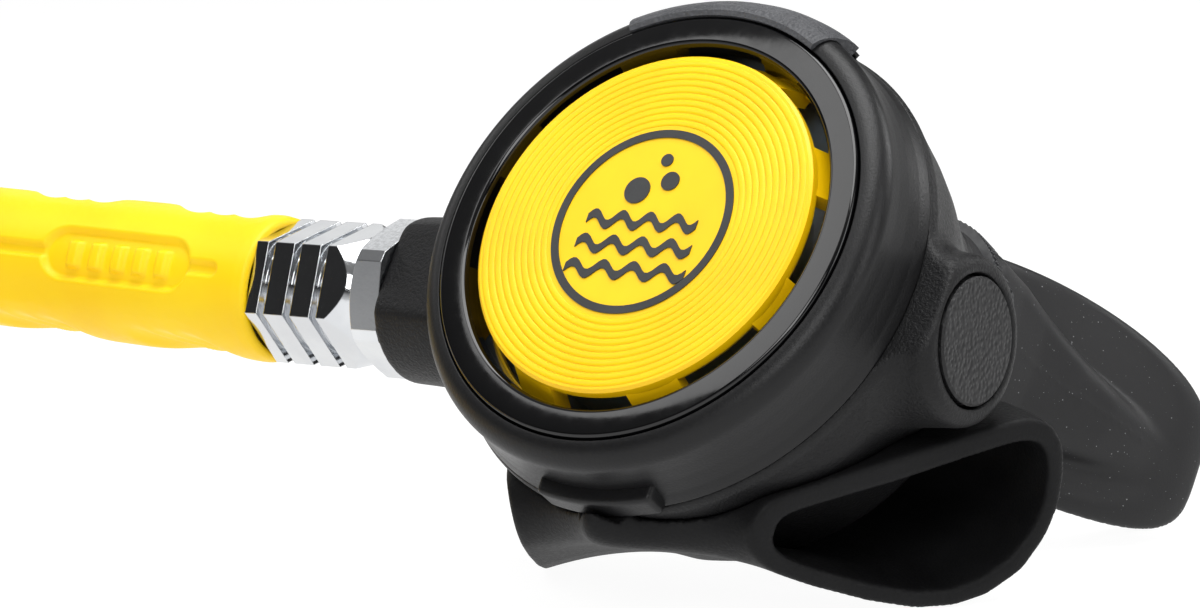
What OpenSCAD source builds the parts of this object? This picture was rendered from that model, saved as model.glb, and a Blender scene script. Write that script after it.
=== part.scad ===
// Diver's spare second stage (demand valve) on its low-pressure hose.
// Millimetres. X runs from the hose to the plain side, -Y is the front, Z is up.
// The stage is drawn upright in its own frame, with the purge button's face at Y = 0,
// then leaned back so that it rests on the exhaust tee and the mouthpiece.

/* [Stage] */
// How far the stage leans back at rest
lean = 34.5; // [33:0.5:36]
// Radius of the purge button's face
purge_r = 24.6; // [23:0.1:25]
// Radius of the case at its parting line
case_r = 34.9; // [34.5:0.1:35.5]
// Depth of the case from the button's face
case_d = 42; // [41:0.5:44]
// Number of spokes around the purge button
spokes = 8; // [6:1:10]
// Angle of the clip over the top of the cover ring, in degrees
clip_span = 56; // [40:1:70]

/* [Valve] */
// Distance from the button's face back to the valve's axis
valve_y = 22.3; // [22:0.1:23]
// Height of the valve's axis from the button's centre
valve_z = -2.8; // [-3.5:0.1:-2]
// Outer radius of the valve barrel
barrel_r = 6.4; // [6:0.1:6.6]
// Bore radius of the valve barrel
bore_r = 4.7; // [4.5:0.1:4.9]

/* [Hose] */
// Outer diameter of the hose
hose_d = 11.5; // [10.5:0.5:12]
// Distance across flats of the swivel nut
nut_af = 17.5; // [17:0.5:19]
// Length of the yellow hose sleeve
sleeve_l = 105; // [95:5:110]
// Mid-turn radius of the coil of hose
coil_r = 64; // [60:1:66]

/* [Mouthpiece] */
// Height of the mouthpiece's axis over the button's centre
mouth_z = 13; // [12:0.5:14]
// Half width of the mouthpiece's lip shield
shield_w = 31.6; // [31:0.1:33]
// Height of the mouthpiece's lip shield
shield_h = 32; // [31:1:34]

/* [Hidden] */
$fn = 72;

// Height of the exhaust port
port_z = -15;
// The clip's middle, in degrees from the top
clip_turn = 3;
// Where the button's centre stands when the whole stage rests on the floor
stage_at = [14.15, -38.77, 50.62];
// Angle from one purge spoke to the next
spoke_step = 360 / spokes;
// The valve's axis once the stage leans back
axis_y = stage_at[1] + valve_y * cos(lean) + valve_z * sin(lean);
axis_z = stage_at[2] - valve_y * sin(lean) + valve_z * cos(lean);
// Where the hose sleeve starts, and how many degrees it rises
sleeve_x = -72;
sleeve_rise = 2;
sleeve_end = stage_at[0] + sleeve_x - sleeve_l * cos(sleeve_rise);
sleeve_top = axis_z + sleeve_l * sin(sleeve_rise);
// Middle of the coil
coil_x = sleeve_end - 22;
coil_y = axis_y - coil_r;
hr = hose_d / 2;
// The tail from the coil, and the height of the hose's end
tail_l = 46;
end_z = 8.1;

// ---- Placement helpers -------------------------------------------------------

// Puts the stage's own frame at its resting place
module stage() {
    translate(stage_at)
        rotate([-lean, 0, 0])
            children();
}

// Puts the origin on the valve's axis, which runs along X
module valve() {
    stage()
        translate([0, valve_y, valve_z])
            children();
}

// Turns a profile of [radius, depth] about the stage's front-to-back axis
module turn_y(points, n = 144) {
    rotate([-90, 0, 0])
        rotate_extrude($fn = n)
            polygon(points);
}

// Turns a profile of [radius, distance] about X
module turn_x(points, n = 64) {
    rotate([0, 90, 0])
        rotate_extrude($fn = n)
            polygon(points);
}

// A rod along X from x0 to x1
module rod_x(x0, x1, r) {
    translate([x0, 0, 0])
        rotate([0, 90, 0])
            cylinder(r = r, h = x1 - x0);
}

// A rod along Y from y0 to y1
module rod_y(y0, y1, r) {
    translate([0, y0, 0])
        rotate([-90, 0, 0])
            cylinder(r = r, h = y1 - y0);
}

// A ring of round section about X
module ring_x(x, r, t) {
    translate([x, 0, 0])
        rotate([0, 90, 0])
            rotate_extrude($fn = 64)
                translate([r, 0])
                    circle(r = t, $fn = 24);
}

// A bar of six flats along X
module hex_x(x0, x1, af, turn) {
    translate([x0, 0, 0])
        rotate([turn, 0, 0])
            rotate([0, 90, 0])
                cylinder(r = af / 2 / cos(30), h = x1 - x0, $fn = 6);
}

// A bar of six flats whose corners are cut off
module cut_hex_x(x0, x1, af, turn) {
    intersection() {
        hex_x(x0, x1, af, turn);
        hex_x(x0, x1, af * 1.105, turn + 30);
    }
}

// A bar along Y whose section is w wide and h high with round ends
module slot_y(y0, y1, w, h) {
    translate([-(w - h) / 2, y0, -h / 2])
        cube([w - h, y1 - y0, h]);
    for (side = [-1, 1])
        translate([side * (w - h) / 2, 0, 0])
            rod_y(y0, y1, h / 2);
}

// A helical spring along +Z with closed ends squared off by its last half turns
module spring(r0, r1, h, wire, turns) {
    steps = 16;
    n = turns * steps;
    sides = 8;
    rings = [for (i = [0:n])
        let (a = 360 * i / steps, r = r0 + (r1 - r0) * i / n, z = wire + (h - 2 * wire) * i / n)
            [for (k = [0:sides - 1])
                let (b = 360 * k / sides, q = r + wire * cos(b))
                    [q * cos(a), q * sin(a), z + wire * sin(b)]]];
    tube(rings, sides);
}

// A closed skin over a list of rings of the same number of points
module tube(rings, sides) {
    n = len(rings) - 1;
    points = [for (ring = rings) for (p = ring) p];
    skin = [for (i = [0:n - 1]) for (k = [0:sides - 1])
        let (j = (k + 1) % sides)
            [i * sides + k, (i + 1) * sides + k, (i + 1) * sides + j, i * sides + j]];
    first = [for (k = [0:sides - 1]) k];
    last = [for (k = [sides - 1:-1:0]) n * sides + k];
    polyhedron(points, concat([first], skin, [last]), convexity = 8);
}

// Rings of radius r around a route in space. Its first and last points only give the
// directions in which the tube starts and ends.
function unit(v) = v / norm(v);
function sweep(route, r, sides) =
    [for (i = [1:len(route) - 2])
        let (t = unit(route[i + 1] - route[i - 1]),
             u = unit(cross([0, 0, 1], t)),
             w = cross(t, u))
            [for (k = [0:sides - 1])
                route[i] - r * cos(360 * k / sides) * u + r * sin(360 * k / sides) * w]];

// A smooth step from 0 to 1
function ease(t) = t * t * (3 - 2 * t);

// ---- Shapes shared by several pieces -----------------------------------------

// The case behind the parting line: it narrows towards a flat back
module case_skin(grow = 0) {
    r = case_r + grow;
    b = case_d + grow;
    turn_y([[0, 13 - grow], [r, 13 - grow], [r + 0.3, 14.2], [r - 0.1, 16], [r - 0.5, 18],
        [r - 1.2, 22], [r - 2.2, 26], [r - 3.6, 30], [r - 5, 34], [r - 6.3, 38], [r - 6.8, 40], [r - 7.7, 41.4 + grow],
        [r - 9, b], [0, b]]);
}

module cover_skin(grow = 0) {
    turn_y([[0, 2], [case_r - 1 + grow, 2], [case_r + grow, 13], [0, 13]]);
}

// Profile of the cover ring's outside, from the front groove to the parting line
cover_side = concat([for (a = [90:-10:0]) [30.95 + 3.15 * cos(a), 4 - 3 * sin(a)]],
    [[34.0, 6], [34.05, 8.5], [34.35, 11], [case_r, 12.85]]);

// Slices of the exhaust tee. The middle one lies in the stage's plane of symmetry.
tee_mid = [[9.5, -34.5], [10, -38.4], [13, -39.6], [17, -38.5], [22, -35.6], [30, -32.6], [37, -30.4],
    [44, -25], [48.5, -14], [48, -5], [43, -2], [30, -8], [20, -20]];
tee_mid_in = [[12, -33.5], [12.8, -36.6], [14.6, -37.4], [17.4, -36.2], [22.5, -33.4], [30, -30.6],
    [36.2, -28.6], [42, -24], [46, -14], [45.6, -7], [42, -4.6], [30, -10], [20, -20]];
// The mouth of each lobe, drawn in the slanting plane that it opens in
tee_mouth = [[23.5, -21], [30, -14], [36.3, -7.4], [43.4, -0.2], [49.8, 5.8], [52.8, 6.7],
    [56.1, 5.2], [58.3, 2.6], [60.6, -1.7], [61.6, -6], [61.4, -11.5], [58.9, -16.7], [55.6, -20.1],
    [51, -22.9], [44.5, -25.2], [36.4, -27.2], [30, -28.2], [26, -27.6], [23.6, -25]];
tee_mouth_in = [[26.6, -21.8], [32, -16.4], [38.5, -10], [45.2, -2.9], [50.6, 2.6], [52.9, 3.8],
    [55.1, 2.8], [56.9, 0.6], [58.7, -2.9], [59.4, -6.4], [59, -11], [56.9, -15.4], [54, -18.4],
    [49.8, -20.8], [43.8, -22.9], [36, -24.8], [30.4, -25.7], [27.8, -25.2]];
// The mouth plane's two turns and its distance from the button's centre
mouth_pitch = 26.7;
mouth_yaw = -21.5;
mouth_off = 25;

// A thin slice of the tee in the plane of symmetry
module tee_slice(points, t) {
    rotate([90, 0, 90])
        linear_extrude(t, center = true)
            polygon(points);
}

// A thin slice in the plane of a lobe's mouth, moved out by d
module mouth_slice(points, d, t) {
    rotate([0, mouth_pitch, mouth_yaw])
        translate([mouth_off + d, 0, 0])
            rotate([90, 0, 90])
                linear_extrude(t)
                    polygon(points);
}

// ---- Stage: shell --------------------------------------------------------------

module case_body() {
    color("#1b1b1c")
        stage()
            difference() {
                union() {
                    case_skin();
                    // Inlet boss on the hose side, plain boss on the other, both behind the cover
                    difference() {
                        translate([0, valve_y, valve_z]) {
                            turn_x([[0, -48.7], [11, -48.7], [11.3, -48.3], [11.7, -38], [12, -26],
                                [0, -26]]);
                            turn_x([[0, 26], [12.6, 26], [12.2, 31], [11.8, 36.9], [11.3, 38.7],
                                [10.6, 39.5], [9.8, 39.8], [0, 39.8]]);
                        }
                        turn_y([[0, 2], [case_r + 0.1, 2], [case_r + 0.1, 12.95], [0, 12.95]]);
                    }
                    // Tab at the top that the clip runs on to
                    rotate([-90, 0, 0])
                        rotate([0, 0, -90 + clip_turn - clip_span / 2 + 0.5])
                            rotate_extrude(angle = clip_span + 5.5, $fn = 144)
                                polygon([[35.05, 7.3], [35.7, 7.3], [36, 9], [36, 13], [35.4, 17],
                                    [34.4, 18.4], [33, 19], [33, 13], [35.05, 13]]);
                    // Hood that carries the mouthpiece
                    hull() {
                        translate([0, 0, 11])
                            slot_y(26, 27, 52, 34, $fn = 32);
                        translate([0, 0, mouth_z])
                            slot_y(43, 44, 43, 28, $fn = 32);
                    }
                    translate([0, 0, mouth_z])
                        slot_y(40, 58, 36, 21);
                    translate([0, 0, mouth_z])
                        slot_y(56, 58, 37.4, 22.4);
                }
                // Air chamber behind the diaphragm
                turn_y([[0, 12.9], [30, 12.9], [30, 24], [28.8, 30], [27, 35], [24.5, 38], [15, 39.2],
                    [0, 39.2]]);
                turn_y([[0, 12.9], [31.4, 12.9], [31.4, 14.2], [0, 14.2]]);
                // Passage to the mouthpiece
                translate([0, 0, mouth_z])
                    slot_y(30, 60, 31, 16);
                // Exhaust port with four ribs and a hole for the valve's stem
                translate([0, 0, port_z])
                    difference() {
                        rod_y(36, 45, 8.6);
                        for (a = [0:45:135])
                            rotate([0, a, 0])
                                translate([-11, 36, -0.9])
                                    cube([22, 4.6, 1.8]);
                        rod_y(36, 40.6, 3.4);
                    }
                translate([0, 0, port_z])
                    rod_y(36, 45, 1.25);
                // Seat of the exhaust valve
                translate([0, 0, port_z])
                    rod_y(40.6, 45, 10.3);
                // Bore for the valve barrel and the plug's recess
                translate([0, valve_y, valve_z]) {
                    rod_x(-51, 32, barrel_r + 0.02);
                    rod_x(31, 42, 8.68);
                }
            }
}

module cover_ring() {
    color("#222223")
        stage() {
            turn_y(concat([[30.9, 1.3]], cover_side, [[30.3, 12.85], [30.3, 9.2], [28.6, 9.2], [28.6, 6.3],
                [30.9, 6.3]]));
            // Lip at the foot of the ring, for prising it off
            difference() {
                translate([-8.4, 8.6, -36.6])
                    cube([17.6, 4.1, 4]);
                turn_y([[0, 2], [34, 2], [34, 13], [0, 13]]);
            }
        }
}

module bezel() {
    color("#0b0b0c")
        stage()
            turn_y([[26.35, 6], [26.35, 2.6], [26.5, 1.2], [26.75, 0.75], [27.15, 0.5], [27.9, 0.4],
                [29.2, 0.45], [30, 0.55], [30.45, 0.75], [30.7, 1.1], [30.7, 6]]);
}

module top_clip() {
    color("#3a3b3d")
        stage()
            rotate([-90, 0, 0])
                rotate([0, 0, -90 + clip_turn - clip_span / 2])
                    rotate_extrude(angle = clip_span, $fn = 144)
                        polygon([[30.95, 0.9], [30.95, 0.5], [31.6, 0.25], [32.6, 0.7], [33.6, 1.6],
                            [34.4, 2.8], [35.2, 4.5], [35.6, 6], [35.65, 7.1], [34.15, 7.1], [34.12, 6],
                            [34.2, 4], [34.05, 2.9], [33.5, 1.95], [32.7, 1.3], [31.8, 0.98]]);
}

// ---- Stage: purge button and diaphragm ----------------------------------------

module purge_button() {
    color("#ffe10a")
        stage() {
            difference() {
                turn_y([[0, 0], [purge_r - 0.4, 0], [purge_r, 0.35], [purge_r, 1.6],
                    [purge_r - 0.5, 2.4], [0, 2.4]]);
                rod_y(1.6, 3, 16);
            }
            // Rim that keeps the button behind the bezel
            turn_y([[26.2, 6.5], [28.1, 6.5], [28.1, 7.6], [26.2, 7.6]]);
            // Spokes slope from the face down to the rim
            for (k = [0:spokes - 1])
                rotate([0, spoke_step * (k + 0.5), 0])
                    spoke();
            // Hub that pushes on the diaphragm's plate
            rod_y(1.5, 10.5, 3);
            turn_y([[3, 1.5], [4.5, 1.5], [3, 4]]);
        }
}

// One sloping spoke, reaching out along +X
module spoke() {
    linear_extrude(7.4, center = true)
        polygon([[22.5, 1.2], [24.2, 0.9], [26.0, 5.2], [26.2, 6.5], [27.9, 6.5], [27.9, 7.6],
            [24.8, 7.6], [22.5, 2.4]]);
}

module badge() {
    color("#4a4b4d")
        stage()
            rotate([90, 0, 0])
                linear_extrude(0.2) {
                    difference() {
                        circle(r = 13.4);
                        circle(r = 12.3);
                    }
                    // Three waves
                    for (row = [0:2])
                        wave(-7.2 + row * 3.6, 9.4 - row * 0.4);
                    // Rising bubbles
                    translate([-2.4, 4.4])
                        circle(r = 1.9);
                    translate([2.2, 6])
                        circle(r = 1.35);
                    translate([0.6, 9])
                        circle(r = 0.9);
                }
}

// A wavy bar, 1.3 thick, from -w to w at height y
module wave(y, w) {
    top = [for (i = [-20:20]) [w * i / 20, y + 0.65 + 0.8 * sin(i * 36)]];
    low = [for (i = [20:-1:-20]) [w * i / 20, y - 0.65 + 0.8 * sin(i * 36)]];
    polygon(concat(top, low));
}

module purge_spring() {
    color("#b9bcc0")
        stage()
            translate([0, 1.7, 0])
                rotate([-90, 0, 0])
                    spring(13, 9, 9, 0.4, 3);
}

module retaining_ring() {
    color("#26272a")
        stage()
            turn_y([[28.2, 10.4], [30.2, 10.4], [30.2, 12.2], [28.2, 12.2]]);
}

module diaphragm() {
    color("#7d8790")
        stage()
            turn_y([[14.2, 11.2], [19, 11.2], [20.5, 12.2], [22.5, 13.2], [24.5, 12.6], [26, 12.25],
                [30.2, 12.25], [30.2, 12.95], [31.2, 12.95], [31.2, 14.1], [30.4, 14.1], [29.9, 13.1],
                [26.2, 13.1], [24.8, 13.5], [22.5, 14.1], [20, 13.1], [18.6, 12.1], [14.2, 12.1]]);
}

module diaphragm_plate() {
    color("#c9ccd0")
        stage()
            turn_y([[0, 10.8], [13, 10.8], [14.2, 11], [14.2, 12.3], [0, 12.3]]);
}

// ---- Stage: valve --------------------------------------------------------------

module lever() {
    color("#c3c7cc")
        stage()
            difference() {
                union() {
                    translate([17.5, 15.2, valve_z])
                        rotate([0, 0, 6])
                            translate([-17.5, -0.4, -3])
                                cube([18.4, 0.8, 6]);
                    // Roller end that follows the plate
                    translate([0.6, 13, valve_z - 3])
                        cylinder(r = 0.6, h = 6);
                    // Feet that reach through the barrel's slot to the poppet
                    for (side = [-1, 1])
                        translate([16.2, 14.6, valve_z + side * 2.5 - 0.5])
                            cube([2.6, 5.9, 1]);
                }
                translate([17.5, 15.6, valve_z - 4])
                    cylinder(r = 0.62, h = 8);
            }
}

module lever_pin() {
    color("#aeb2b8")
        stage()
            translate([17.5, 15.6, valve_z - 4.4])
                cylinder(r = 0.55, h = 8.8);
}

module valve_barrel() {
    color("#c8a24a")
        valve()
            difference() {
                union() {
                    rod_x(-46, 31, barrel_r);
                    // Ears that hold the lever's pin
                    for (z = [-4.2, 3.2])
                        translate([16, -7.5, z])
                            cube([3, 2.4, 1]);
                }
                rod_x(-47, 32, bore_r);
                // Slot for the lever's feet
                translate([13, -8, -3.2])
                    cube([8, 8, 6.4]);
                // Flat under the lever
                translate([-4, -8, -7])
                    cube([17, 2.6, 14]);
                // Air outlet towards the mouthpiece
                translate([6, 0, 0])
                    cylinder(r = 2.6, h = 9);
                // Groove for the O-ring at the inlet
                difference() {
                    rod_x(-41.2, -38.8, barrel_r + 1);
                    rod_x(-42, -38, barrel_r - 1.1);
                }
                // Pin holes
                translate([17.5, -6.7, -6])
                    cylinder(r = 0.57, h = 12);
            }
}

module barrel_oring() {
    color("#101010")
        valve()
            ring_x(-40, barrel_r - 0.35, 0.72);
}

module inlet_fitting() {
    color("#d9dcdf")
        valve()
            difference() {
                union() {
                    intersection() {
                        cut_hex_x(-53.8, -48.75, 19.6, 25);
                        turn_x([[0, -53.8], [9.5, -53.8], [11.2, -52.8], [12, -52.8], [12, -48.75],
                            [0, -48.75]]);
                    }
                    // Male thread that the swivel nut runs on
                    rod_x(-63, -53.7, 7.14);
                    rod_x(-47.7, -32, bore_r);
                }
                rod_x(-64, -31, 3);
                rod_x(-64, -60.6, 5.1);
            }
}

module orifice() {
    color("#d8b65a")
        valve()
            difference() {
                turn_x([[0, -31.9], [bore_r, -31.9], [bore_r, -27], [2.7, -26], [1.9, -25], [0, -25]]);
                rod_x(-33, -24, 1.4);
            }
}

module poppet() {
    color("#e8e6df")
        valve()
            difference() {
                union() {
                    rod_x(-24, -18, 4.3);
                    rod_x(-18.1, 24, 1.5);
                    rod_x(12.5, 14.5, 3);
                }
                rod_x(-25, -22.9, 3.3);
            }
}

module poppet_seat() {
    color("#2c2f33")
        valve()
            rod_x(-24.9, -22.9, 3.3);
}

module poppet_spring() {
    color("#b9bcc0")
        valve()
            translate([-17.8, 0, 0])
                rotate([0, 90, 0])
                    spring(3.2, 3.2, 29.9, 0.42, 9);
}

module poppet_nut() {
    color("#d2b052")
        valve()
            difference() {
                hex_x(19.1, 21.5, 5.2, 0);
                rod_x(19, 22, 1.5);
            }
}

module end_plug() {
    color("#c8a24a")
        valve()
            difference() {
                rod_x(26.5, 35.2, bore_r - 0.01);
                rod_x(26, 29.5, 1.8);
            }
}

module side_plug() {
    color("#262728")
        valve()
            difference() {
                turn_x([[0, 35.3], [8.3, 35.3], [8.3, 39.8], [8.0, 40.1], [0, 40.1]]);
                // Groove for its O-ring
                difference() {
                    rod_x(36.2, 37.6, 9);
                    rod_x(36, 38, 7.5);
                }
            }
}

module side_plug_oring() {
    color("#101010")
        valve()
            ring_x(36.9, 8.0, 0.62);
}

module air_vane() {
    color("#3b3c3e")
        stage()
            translate([-15, 45, mouth_z - 0.7]) {
                cube([30, 11, 1.4]);
                translate([14.3, 0, -6.9])
                    cube([1.4, 11, 15.2]);
            }
}

module exhaust_valve() {
    color("#8f979e")
        stage()
            translate([0, 0, port_z]) {
                turn_y([[0, 40.75], [9.8, 41.1], [9.8, 41.6], [2.4, 41.7], [1.6, 42.4], [0, 42.6]]);
                rod_y(35.6, 40.8, 1.2);
                turn_y([[0, 34.4], [1.7, 35.4], [1.2, 35.9], [0, 35.9]]);
            }
}

// ---- Stage: tee and mouthpiece ------------------------------------------------

module exhaust_tee() {
    color("#19191a")
        stage()
            difference() {
                for (side = [0, 1])
                    mirror([side, 0, 0])
                        hull() {
                            tee_slice(tee_mid, 1);
                            mouth_slice(tee_mouth, -1, 1);
                        }
                for (side = [0, 1])
                    mirror([side, 0, 0])
                        hull() {
                            tee_slice(tee_mid_in, 1);
                            mouth_slice(tee_mouth_in, 0, 1);
                        }
                case_skin(0.15);
                cover_skin(0.3);
                translate([-9, 8, -37])
                    cube([18.8, 5, 5]);
                // Room for the bosses of the case
                translate([0, valve_y, valve_z])
                    rod_x(-50, 50, 12.7);
            }
}

// Outline of the mouthpiece seen from above: y of the lip shield's front at x
function arch(x) = 60 + x * x / 32;

// An upright slab whose plan follows the arch from -w to w, t thick
module arch_slab(w, t, h) {
    front = [for (i = [-10:10]) [w * i / 10, arch(w * i / 10)]];
    back = [for (i = [10:-1:-10]) [w * i / 10, arch(w * i / 10) + t]];
    translate([0, 0, -h / 2])
        linear_extrude(h)
            polygon(concat(front, back));
}

// A bar along Y with a rounded rectangular section
module pad_y(y0, y1, w, h) {
    rotate([-90, 0, 0])
        translate([0, 0, y0])
            linear_extrude(y1 - y0)
                polygon([for (a = [0:10:350])
                    [w * sign(cos(a)) * pow(abs(cos(a)), 0.53),
                        h * sign(sin(a)) * pow(abs(sin(a)), 0.53)]]);
}

module mouthpiece() {
    color("#3f4042")
        stage()
            translate([0, 0, mouth_z])
                difference() {
                    union() {
                        slot_y(44.4, 62, 43, 28);
                        // Throat that spreads from the tube to the lip shield
                        intersection() {
                            translate([0, 0, -14])
                                linear_extrude(28)
                                    polygon(concat([[-21.5, 56], [21.5, 56], [23, 66], [30.2, 87.5]],
                                        [for (i = [9:-1:-9]) [29 * i / 9, arch(29 * i / 9) + 1]],
                                        [[-30.2, 87.5], [-23, 66]]));
                            translate([0, 0, 1.6])
                                pad_y(50, 100, 31, 12.6);
                        }
                        // Lip shield, curved round the teeth
                        intersection() {
                            arch_slab(shield_w, 2.8, 50);
                            translate([0, 0, 1.3])
                                pad_y(55, 100, shield_w, shield_h / 2);
                        }
                        // Bite tabs, each with a ridge that sits behind the teeth
                        for (side = [-1, 1])
                            translate([side * 21, 0, 1]) {
                                hull() {
                                    translate([-4, 74, -2.6])
                                        cube([8, 2, 5.2]);
                                    translate([-4, 96, -2])
                                        cube([8, 2, 4]);
                                }
                                hull()
                                    for (z = [-4.5, 5.5])
                                        translate([0, 98.5, z])
                                            sphere(r = 2.6, $fn = 24);
                            }
                    }
                    // Socket for the spigot
                    slot_y(44, 58.1, 36.2, 21.2);
                    slot_y(55.8, 58.1, 37.6, 22.6);
                    // Air way
                    hull() {
                        slot_y(57, 58, 31, 16, $fn = 32);
                        slot_y(70, 74, 28, 13, $fn = 32);
                    }
                }
}

module mouth_clamp() {
    color("#2a2b2d")
        stage()
            translate([0, 0, mouth_z]) {
                difference() {
                    slot_y(48.5, 53.5, 45.8, 30.8);
                    slot_y(48, 54, 43.1, 28.1);
                }
                // Latch of the strap
                translate([-5, 47.9, 14.9])
                    cube([10, 6.2, 2.4]);
            }
}

// ---- Hose end at the stage ----------------------------------------------------

module swivel_nut() {
    color("#e4e6e8")
        valve()
            difference() {
                intersection() {
                    hex_x(-71.8, -54, nut_af, 16);
                    turn_x([[0, -73], [11, -73], [11, -59.8], [8.1, -54], [0, -54]]);
                }
                // Three grooves round the flats
                for (k = [0:2])
                    translate([4.56 * k, 0, 0])
                        difference() {
                            rod_x(-69.8, -68.6, 12);
                            rod_x(-71, -67, 8);
                        }
                rod_x(-65.6, -53, 7.17);
                rod_x(-73, -65, 6.03);
            }
}

module hose_nipple() {
    color("#c9ccd0")
        valve()
            difference() {
                union() {
                    rod_x(-92, -60.7, 3.6);
                    rod_x(-80, -65.5, 6);
                    rod_x(-65.5, -63.15, 6.9);
                    rod_x(-63.2, -60.7, 4.9);
                }
                rod_x(-93, -60, 2.4);
                // Groove for the O-ring
                difference() {
                    rod_x(-62.8, -61.2, 6);
                    rod_x(-64, -60, 3.92);
                }
            }
}

module nipple_oring() {
    color("#101010")
        valve()
            ring_x(-62, 4.5, 0.57);
}

module near_ferrule() {
    color("#b8bcc1")
        valve()
            difference() {
                rod_x(-97, -78, 7.6);
                rod_x(-98, -80, 5.75);
                rod_x(-80.1, -77, 6);
            }
}

// The soft sleeve rises a little from the stiff end of the hose
module sleeve_frame() {
    translate([stage_at[0] + sleeve_x, axis_y, axis_z])
        rotate([0, sleeve_rise, 0])
            children();
}

module hose_sleeve() {
    color("#ffe10a")
        sleeve_frame()
            difference() {
                turn_x([[0, -sleeve_l], [7.2, -sleeve_l], [8.4, 14 - sleeve_l], [9.7, 30 - sleeve_l],
                    [9.8, -50], [10.1, -24], [10.3, -8], [10.2, -2], [9.7, 0.6], [0, 0.6]]);
                rod_x(-30, 1, 8.6);
                rod_x(-1.6, 1, 10.14);
                rod_x(-sleeve_l - 1, -29, hr + 0.03);
                // Panels with raised bars on the front and the back
                for (side = [0, 180])
                    rotate([side - 20, 0, 0])
                        sleeve_panel();
                // Finger notches in threes along the top and the bottom
                for (side = [70, 250])
                    rotate([side, 0, 0])
                        for (x = [-13.5, -40, -66])
                            for (k = [-1:1])
                                translate([x + k * 4.4, -13.3, 0])
                                    rotate([0, 30, 0])
                                        cylinder(r = 4.1, h = 14, center = true, $fn = 32);
            }
}

// The recess of a panel: a rounded pocket whose bars stay at full height
module sleeve_panel() {
    difference() {
        union() {
            translate([-33, -11, -3.6])
                cube([19, 2.2, 7.2]);
            for (x = [-33, -14])
                translate([x, -8.8, 0])
                    rotate([90, 0, 0])
                        cylinder(r = 3.6, h = 2.2);
            translate([-14, -11, -0.9])
                cube([8.5, 1.8, 1.8]);
            translate([-72, -11, -0.9])
                cube([40, 1.8, 1.8]);
        }
        for (k = [0:4])
            translate([-32.4 + k * 4, -12, -2])
                cube([2, 4, 4]);
    }
}

// ---- Hose ---------------------------------------------------------------------

// The stretch of hose inside the sleeve
module hose_core() {
    color("#ffdf12")
        sleeve_frame()
            rod_x(2 - sleeve_l, -28.4, hr - 0.02);
}

// The hose comes down while it goes round the first part of its first turn. It passes
// over its second turn, which lies on the floor.
drop_turn = 140;
drop_l = sleeve_end + 2 - coil_x + coil_r * drop_turn * PI / 180;
function drop_z(s) = sleeve_top - (sleeve_top - 3 * hr) * ease(min(s / drop_l, 1));
function turn_z(a) = hr * (3 - 2 * ease(min(max((a - 285) / 145, 0), 1)));
function on_coil(a, z) = [coil_x + coil_r * cos(a), coil_y + coil_r * sin(a), z];
lead_route = concat(
    [for (i = [-1:3]) [sleeve_end + 2 - 6 * i, axis_y, drop_z(6 * i)]],
    [for (a = [0:10:drop_turn + 10]) on_coil(90 + a, drop_z(24 + coil_r * a * PI / 180))]);
coil_route = [for (a = [80 + drop_turn:10:640]) on_coil(a, turn_z(a))];
// Tail from the bottom of the coil to the far ferrule
tail_route = [for (i = [-1:7])
    [coil_x + tail_l * i / 6, coil_y - coil_r, hr + (end_z - hr) * ease(min(max(i / 3 - 1, 0), 1))]];

module hose_lead() {
    color("#ffdf12")
        tube(sweep(lead_route, hr - 0.05, 12), 12);
}

module hose_coil() {
    color("#ffdf12")
        tube(sweep(coil_route, hr - 0.05, 12), 12);
}

module hose_tail() {
    color("#ffdf12")
        tube(sweep(tail_route, hr - 0.05, 12), 12);
}

// Puts the origin where the hose ends in the far ferrule
module far_end() {
    translate([coil_x + tail_l, coil_y - coil_r, end_z])
        children();
}

module far_ferrule() {
    color("#b8bcc1")
        far_end()
            difference() {
                rod_x(-2, 22, 7.6);
                rod_x(-3, 18, hr + 0.05);
                rod_x(17, 23, 3.62);
            }
}

module hose_connector() {
    color("#d5d8db")
        far_end()
            difference() {
                union() {
                    rod_x(2, 24, 3.6);
                    hex_x(22.1, 30, 14, 0);
                    rod_x(30, 32, 5.6);
                    rod_x(32, 42, 4.76);
                }
                rod_x(1, 43, 2.2);
                // Groove for the face O-ring
                difference() {
                    rod_x(31.9, 33.6, 6);
                    rod_x(31, 34, 3.88);
                }
            }
}

module connector_oring() {
    color("#101010")
        far_end()
            ring_x(32.8, 4.65, 0.75);
}

case_body();
cover_ring();
bezel();
top_clip();
purge_button();
badge();
purge_spring();
retaining_ring();
diaphragm();
diaphragm_plate();
lever();
lever_pin();
valve_barrel();
barrel_oring();
inlet_fitting();
orifice();
poppet();
poppet_seat();
poppet_spring();
poppet_nut();
end_plug();
side_plug();
side_plug_oring();
air_vane();
exhaust_valve();
exhaust_tee();
mouthpiece();
mouth_clamp();
swivel_nut();
hose_nipple();
nipple_oring();
near_ferrule();
hose_sleeve();
hose_core();
hose_lead();
hose_coil();
hose_tail();
far_ferrule();
hose_connector();
connector_oring();
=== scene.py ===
# %% [markdown]
# # A diver's second stage on its low-pressure hose
# The second stage is the part of a diving regulator that the diver breathes from. A yellow
# purge button sits in a black case, a rubber mouthpiece leaves the back, an exhaust tee
# lies underneath, and a yellow hose brings the air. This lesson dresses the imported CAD
# model: hard parts keep their CAD shape and get a real finish, soft parts are modelled anew.

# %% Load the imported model
import math
import bpy
import numpy as np
from mathutils import Matrix, Vector


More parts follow.
